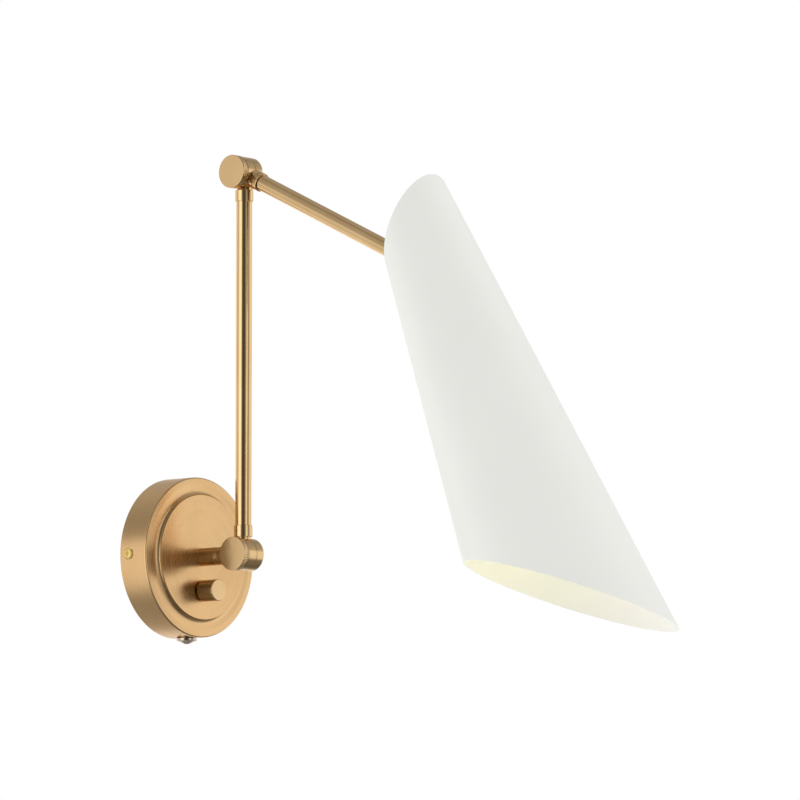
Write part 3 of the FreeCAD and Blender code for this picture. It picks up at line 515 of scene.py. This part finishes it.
def make_stem():
    """Post with two raised rings near its end, and the sleeve that joins it to the lower knuckle."""
    post = [(5.05, DISC_FACE), (6.75, DISC_FACE, 0.25), (6.75, 45.2, 0.45), (6.0, 45.2, 0.1),
            (6.0, 45.75, 0.1), (6.55, 45.75, 0.2), (6.55, 46.35, 0.2), (6.0, 46.35, 0.1), (6.0, 47.0, 0.1),
            (6.55, 47.0, 0.2), (6.55, 47.55, 0.2), (5.95, 47.55), (5.95, 51.4), (5.05, 51.4)]
    lathe("stem", post, WALL, "wall_mount", ["stem_post"], [brass_stem])
    collar = [(5.55, 12.9), (COLLAR_R, 12.9, 0.5), (COLLAR_R, 21.2, 0.4), (5.98, 21.2), (5.98, 17.5),
              (5.55, 17.5)]
    lathe("stem_sleeve", collar, STEM_END, "wall_mount", ["stem_collar"], [brass_stem])


# ------------------------------------------------------------------ knuckles

def half_outline(side, blind):
    """Half barrel, hollow round its hub; side 1 is the +X half."""
    end = KNUCKLE_HALF
    hub_r = 5.5
    shell = [(KNUCKLE_R, end, 1.7 if blind else 0.5), (KNUCKLE_R, 0.15, 0.12), (10.0, 0.15, 0.2),
             (10.0, 6.0, 0.6), (hub_r, 6.0, 0.6), (hub_r, 0.45, 0.2), (PIN_R, 0.45, 0.1)]
    if blind:
        outer = [(0, end)] + shell + [(PIN_R, end - 1.0), (0, end - 1.0)]
    else:
        outer = [(PIN_R, end)] + shell
    return [(c[0], side * c[1]) + tuple(c[2:]) for c in outer]


def neck(bm, side, seam, to_axis, levels):
    """Round neck of a half barrel, cut clear of the other half; levels are its (radius, end) steps."""
    segments = 96
    rings = []
    for i, (radius, end) in enumerate(levels):
        ring = []
        for k in range(segments):
            a = 2 * math.pi * k / segments
            x, y = radius * math.cos(a), radius * math.sin(a)
            height = end
            if i == 0:
                reach = KNUCKLE_R - 0.5 if (x - seam) * side > 0.2 else KNUCKLE_R + 0.3
                height = math.sqrt(reach ** 2 - y ** 2)
            ring.append(bm.verts.new(to_axis @ Vector((x, y, height))))
        rings.append(ring)
    for low, high in zip(rings, rings[1:]):
        for k in range(segments):
            n = (k + 1) % segments
            bm.faces.new((low[k], low[n], high[n], high[k]))
    bm.faces.new(rings[-1])
    bm.faces.new(list(reversed(rings[0])))


def make_half(name, axis_home, side, seam, own, levels, body, node, material):
    """Half a knuckle: a hollow half barrel across the arm, and the neck that runs along own's Z."""
    to_axis = axis_home.inverted() @ own

    def add_neck(bm):
        neck(bm, side, seam, to_axis, levels)

    blind = side > 0
    lathe(name, half_outline(side, blind), axis_home, body, [node], [material], segments=128,
          closed=not blind, extra=add_neck)


def make_thumb(name, axis_home, body, node, material):
    """Clamp screw: flat round head with a knurled edge between two plain lands."""
    back = -KNUCKLE_HALF - CAP_GAP
    front = back - CAP_LENGTH
    band = (front + 0.95, back - 0.75)

    def knurl(angle, r, z):
        if r < CAP_R - 0.25 or not band[0] < z < band[1]:
            return r
        groove = 0.5 + 0.5 * math.cos(angle * KNURLS)
        return r - KNURL_DEPTH * groove ** 1.5

    middle = (band[0] + band[1]) / 2
    tip = 6.6
    levels = [(CAP_R, z) for z in (band[0] - 0.05, band[0] + 0.12, middle, band[1] - 0.12, band[1] + 0.05)]
    face = [(0, front), (CAP_R, front, 0.75)]
    shank = [(CAP_R, back, 0.5), (3.0, back, 0.3), (3.0, tip, 0.5), (0, tip)]
    lathe(name, face + levels + shank, axis_home, body, [node], [material], segments=480, shape=knurl)


def make_knuckles():
    arm_neck = [(NECK_R, 0), (NECK_R, 17.4)]
    spigot = [(COLLAR_R, 0), (COLLAR_R, 15.4), (6.4, 15.9), (4.2, 15.9), (4.2, 34.0)]
    make_half("stem_fork", LOW_AXIS, 1, LOWER_SEAM, STEM_END, arm_neck, "wall_mount", "lower_knuckle_fixed",
              brass_low_axis)
    make_half("lower_fork", LOW_AXIS, -1, LOWER_SEAM, LOWER, arm_neck, "lower_arm", "lower_knuckle_moving",
              brass_low_axis)
    make_half("elbow_fork", HIGH_AXIS, 1, ELBOW_SEAM, ELBOW_DOWN, arm_neck, "lower_arm", "elbow_fixed",
              brass_high_axis)
    make_half("elbow_swivel", HIGH_AXIS, -1, ELBOW_SEAM, UPPER, spigot, "elbow", "elbow_moving",
              brass_high_axis)
    make_thumb("lower_clamp_head", LOW_AXIS, "lower_clamp", "lower_thumb_screw", brass_low_axis)
    make_thumb("elbow_clamp_head", HIGH_AXIS, "elbow_clamp", "elbow_thumb_screw", brass_high_axis)


# ------------------------------------------------------------------ arms

def collar_outline():
    """Arm collar: a plain sleeve over neck and tube with a thinner lip at the tube's end."""
    return [(5.55, 12.9), (COLLAR_R, 12.9, 0.5), (COLLAR_R, 21.2, 0.3), (6.5, 21.2, 0.1), (6.5, 21.8, 0.25),
            (TUBE_FIT, 21.8), (TUBE_FIT, 17.5), (5.55, 17.5)]


def sleeve(name, outer, inner, start, end, edge, home, body, node, material):
    lathe(name, [(inner, start), (outer, start, edge), (outer, end, edge), (inner, end)], home, body, [node],
          [material])


def make_arms():
    lathe("lower_collar", collar_outline(), LOWER, "lower_arm", ["lower_arm_bottom_collar"], [brass_lower])
    lathe("upper_collar", collar_outline(), ELBOW_DOWN, "lower_arm", ["lower_arm_top_collar"], [brass_lower])
    tube_start = 17.6
    upper_start = 17.35
    sleeve("lower_tube", TUBE_R, TUBE_BORE, tube_start, ELBOW_UP - tube_start, 0.3, LOWER, "lower_arm",
           "lower_arm_tube", brass_lower)
    sleeve("twist_washer", RING_R, 4.25, 16.3, 17.3, 0.25, UPPER, "upper_arm", "twist_ring", brass_upper)
    sleeve("twist_sleeve", RING_R, TUBE_FIT, upper_start, 20.1, 0.4, UPPER, "upper_arm", "twist_ferrule",
           brass_upper)
    sleeve("upper_tube", TUBE_R, TUBE_BORE, upper_start, ARM_REACH - 14, 0.3, UPPER, "upper_arm",
           "upper_arm_tube", brass_upper)


# ------------------------------------------------------------------ lamp head

def shade_point(angle, t, inset):
    """A point of the shade: t runs from the top cut (0) to the mouth (1), inset mm in from the outer face."""
    c = math.cos(angle)
    base = APEX_UP * CONE - inset
    top = (TOP_MIDDLE - TOP_SLANT * c * base) / (1 + TOP_SLANT * c * CONE)
    mouth = (MOUTH_MIDDLE + MOUTH_SLANT * c * base) / (1 - MOUTH_SLANT * c * CONE)
    z = top + (mouth - top) * t
    r = base + z * CONE
    return Vector((r * math.sin(angle), r * c, z))


def make_shade():
    """Open cone between two slanted cuts, with a wall of real thickness and slightly broken rims."""
    bm = bmesh.new()
    segments, rows = 224, 40
    wall = SHADE_WALL / math.cos(math.atan(CONE))
    lip = SHADE_LIP
    # Each loop is (share of the way down, depth in from the outer face, 0 outside or 1 inside).
    near = 0.0011
    steps = [k / rows for k in range(1, rows)]
    loops = [(0.0, lip, 0), (near, 0.0, 0)] + [(t, 0.0, 0) for t in steps]
    loops += [(1 - near, 0.0, 0), (1.0, lip, 0)]
    loops += [(1.0, wall - lip, 1), (1 - near, wall, 1)] + [(t, wall, 1) for t in reversed(steps)]
    loops += [(near, wall, 1), (0.0, wall - lip, 1)]
    turns = [2 * math.pi * k / segments for k in range(segments)]
    sheets = []
    for t, inset, side in loops:
        sheets.append(([bm.verts.new(shade_point(turn, t, inset)) for turn in turns], side))
    for i, (ring, side) in enumerate(sheets):
        following, next_side = sheets[(i + 1) % len(sheets)]
        for k in range(segments):
            n = (k + 1) % segments
            face = bm.faces.new((ring[k], ring[n], following[n], following[k]))
            face.material_index = 1 if side and next_side else 0
    finish_mesh("cone_shade", bm, HEAD, "lamp_head", ["shade"], [paint, paint_inside], sharp=60.0)


def make_holder():
    """Ribbed plastic lamp holder with a flange, and the gripped ring that clamps the shade's spider on it."""
    def ribs(angle, r, z):
        return r - (0.35 * max(0.0, math.cos(angle * 30)) if 17.0 < z < 45.0 and r > 13.0 else 0.0)

    outline = [(5.05, 13.8), (HOLDER_R, 13.8, 2.6), (HOLDER_R, 17.5), (HOLDER_R, 18.5),
               (HOLDER_R, 44.0), (HOLDER_R, 46.0), (16.5, 46.0, 0.4), (16.5, 50.0, 0.4), (HOLDER_R, 50.0),
               (HOLDER_R, 62.0, 0.7), (8.0, 62.0, 0.5), (8.0, 34.0, 0.4), (2.6, 34.0), (2.6, 25.8),
               (5.05, 25.8)]
    lathe("holder_body", outline, HEAD, "lamp_head", ["lamp_holder"], [black], segments=240, shape=ribs)

    def grip(angle, r, z):
        return r - (0.4 * max(0.0, math.cos(angle * 36)) if r > 17.0 else 0.0)

    inner = HOLDER_R + 0.05
    lathe("holder_ring", [(inner, 51.5), (17.5, 51.5, 0.5), (17.5, 56.5, 0.5), (inner, 56.5)], HEAD,
          "lamp_head", ["shade_ring"], [black], segments=288, shape=grip)


def make_bulb():
    """Candle-shaped glass on a screw cap with rounded thread turns."""
    cap_end = 62.6
    widest = cap_end + BULB_LENGTH * 0.42
    tip = cap_end + BULB_LENGTH
    rows = 40
    points = [(0, BULB_SEAT), (BULB_NECK_R - 0.1, BULB_SEAT)]
    for k in range(1, rows):
        z = BULB_SEAT + (tip - BULB_SEAT) * k / rows
        if z < widest:
            u = (widest - z) / (widest - BULB_SEAT)
            r = BULB_NECK_R + (BULB_R - BULB_NECK_R) * (1 - u ** 1.9)
        else:
            u = (z - widest) / (tip - widest)
            r = BULB_R * math.sqrt(max(0.0, 1 - u ** 1.75)) * (1 - 0.12 * u)
        points.append((r, z))
    points.append((0, tip))
    lathe("bulb", points, HEAD, "lamp_head", ["bulb_glass"], [glass])

    pitch = 2.6
    cap = [(0, 36.5), (2.4, 36.5, 0.3), (5.9, 39.4), (CAP_THREAD_R, 40.4)]
    for k in range(7):
        z = 41.4 + k * pitch
        cap += [(CAP_THREAD_R, z, 0.3), (CAP_THREAD_R - 0.6, z + pitch / 2, 0.3)]
    cap += [(CAP_THREAD_R, 60.2), (CAP_THREAD_R, cap_end), (0, cap_end)]
    lathe("bulb_thread", cap, HEAD, "lamp_head", ["bulb_cap"], [zinc])


make_canopy()
make_side_screws()
make_plug()
make_knob()
make_stem()
make_knuckles()
make_arms()
make_shade()
make_holder()
make_bulb()


# ------------------------------------------------------------------ studio

CAMERA_AT = (-3.32472, -3.02778, -0.35178)
CAMERA_YAW = math.radians(49.834)
CAMERA_PITCH = math.radians(5.995)
LENS_MM = 270.0
SENSOR_MM = 36.0
FLOOR_DROP = 1.2
FLOOR_RADIUS = 1.3

# Brightness by compass direction in degrees: 0 is the camera's side of the lamp, and it rises to the
# camera's right.
RING_START = math.radians(90 - 220.17)
SOFTBOXES = [(-180, 0.95), (-145, 1.02), (-118, 0.86), (-94, 0.60), (-78, 0.72), (-63, 1.32), (-39, 1.32),
             (-25, 0.30), (-14, 0.08), (14, 0.07), (24, 0.28), (38, 0.44), (58, 0.38), (76, 0.34), (90, 0.70),
             (104, 1.00), (120, 0.90), (146, 0.72), (180, 0.92)]
RIGHT_HAND = [(-180, 0.0), (30, 0.0), (80, 1.0), (150, 1.0), (180, 0.0)]
SOFT_LIGHT = [(-180, 1.05), (-120, 1.40), (-60, 1.00), (-20, 0.75), (20, 0.76), (60, 1.15), (120, 1.46),
              (180, 1.05)]
# How the softboxes fade by height, 0 straight down and 1 straight up, on the left and on the right.
FADE_LEFT = [(0.0, 0.26), (0.15, 0.29), (0.27, 0.96), (0.42, 1.0), (0.60, 0.96), (0.73, 0.44), (1.0, 0.40)]
FADE_RIGHT = [(0.0, 0.14), (0.28, 0.20), (0.37, 0.88), (0.45, 1.0), (0.60, 0.98), (0.71, 0.44), (1.0, 0.36)]


def studio_world():
    """Plain white to the camera, softboxes and dark cards to reflections, soft white to diffuse light."""
    world = bpy.data.worlds.new("studio")
    scene.world = world
    world.use_nodes = True
    tree = world.node_tree
    tree.nodes.clear()

    def node(kind, settings=None):
        made = tree.nodes.new(kind)
        for key, value in (settings or {}).items():
            setattr(made, key, value)
        return made

    def link(a, b):
        tree.links.new(a, b)

    coords = node("ShaderNodeTexCoord")
    turn = node("ShaderNodeVectorRotate", {"rotation_type": "Z_AXIS"})
    turn.inputs["Angle"].default_value = RING_START
    link(coords.outputs["Generated"], turn.inputs["Vector"])
    parts = node("ShaderNodeSeparateXYZ")
    link(turn.outputs[0], parts.inputs[0])
    azimuth = node("ShaderNodeMath", {"operation": "ARCTAN2"})
    link(parts.outputs[0], azimuth.inputs[0])
    link(parts.outputs[1], azimuth.inputs[1])
    share = node("ShaderNodeMapRange")
    share.inputs["From Min"].default_value = math.pi
    share.inputs["From Max"].default_value = -math.pi
    link(azimuth.outputs[0], share.inputs["Value"])

    def ramp(source, stops):
        made = node("ShaderNodeValToRGB")
        made.color_ramp.interpolation = "EASE"
        elements = made.color_ramp.elements
        while len(elements) < len(stops):
            elements.new(0.5)
        for element, (at, value) in zip(elements, stops):
            element.position = at
            element.color = (value, value, value, 1.0)
        link(source, made.inputs[0])
        return made.outputs[0]

    def ring(stops):
        """Brightness round the horizon. A ramp stops at 1, so it holds half values, doubled after it."""
        made = node("ShaderNodeMath", {"operation": "MULTIPLY"})
        halves = [((degrees + 180) / 360, value / 2) for degrees, value in stops]
        link(ramp(share.outputs[0], halves), made.inputs[0])
        made.inputs[1].default_value = 2.0
        return made.outputs[0]

    level = ring(SOFTBOXES)
    height = node("ShaderNodeMapRange")
    height.inputs["From Min"].default_value = -1.0
    link(parts.outputs[2], height.inputs["Value"])
    left = ramp(height.outputs[0], FADE_LEFT)
    right = ramp(height.outputs[0], FADE_RIGHT)
    side = ring(RIGHT_HAND)
    fall = node("ShaderNodeMix", {"data_type": "RGBA"})
    link(side, fall.inputs[0])
    link(left, fall.inputs[6])
    link(right, fall.inputs[7])
    glossy = node("ShaderNodeMath", {"operation": "MULTIPLY"})
    link(level, glossy.inputs[0])
    link(fall.outputs[2], glossy.inputs[1])
    soft = ring(SOFT_LIGHT)

    path = node("ShaderNodeLightPath")
    first = node("ShaderNodeMix", {"data_type": "RGBA"})
    link(path.outputs["Is Diffuse Ray"], first.inputs[0])
    link(glossy.outputs[0], first.inputs[6])
    link(soft, first.inputs[7])
    last = node("ShaderNodeMix", {"data_type": "RGBA"})
    link(path.outputs["Is Camera Ray"], last.inputs[0])
    link(first.outputs[2], last.inputs[6])
    last.inputs[7].default_value = (1.0, 1.0, 1.0, 1.0)
    background = node("ShaderNodeBackground")
    link(last.outputs[2], background.inputs["Color"])
    background.inputs["Strength"].default_value = 1.0
    out = node("ShaderNodeOutputWorld")
    link(background.outputs[0], out.inputs[0])


def floor():
    """Pale floor well below the lamp. Only the camera sees it, so the light stays the world's."""
    bm = bmesh.new()
    bmesh.ops.create_circle(bm, cap_ends=True, segments=128, radius=FLOOR_RADIUS)
    mesh = bpy.data.meshes.new("studio_floor")
    bm.to_mesh(mesh)
    bm.free()
    mesh.materials.append(floor_paint)
    made = bpy.data.objects.new("studio_floor", mesh)
    made.location = (0.0, 0.0, -FLOOR_DROP)
    made.visible_diffuse = False
    made.visible_glossy = False
    made.visible_shadow = False
    scene.collection.objects.link(made)


def camera():
    lens = bpy.data.cameras.new("camera")
    lens.lens = LENS_MM
    lens.sensor_width = SENSOR_MM
    lens.clip_end = 50.0
    made = bpy.data.objects.new("camera", lens)
    made.location = CAMERA_AT
    level = math.cos(CAMERA_PITCH)
    look = Vector((math.sin(CAMERA_YAW) * level, math.cos(CAMERA_YAW) * level, math.sin(CAMERA_PITCH)))
    made.rotation_euler = look.to_track_quat("-Z", "Y").to_euler()
    scene.collection.objects.link(made)
    scene.camera = made


studio_world()
floor()
camera()
scene.view_settings.view_transform = "Standard"
scene.view_settings.look = "None"

bpy.context.view_layer.update()
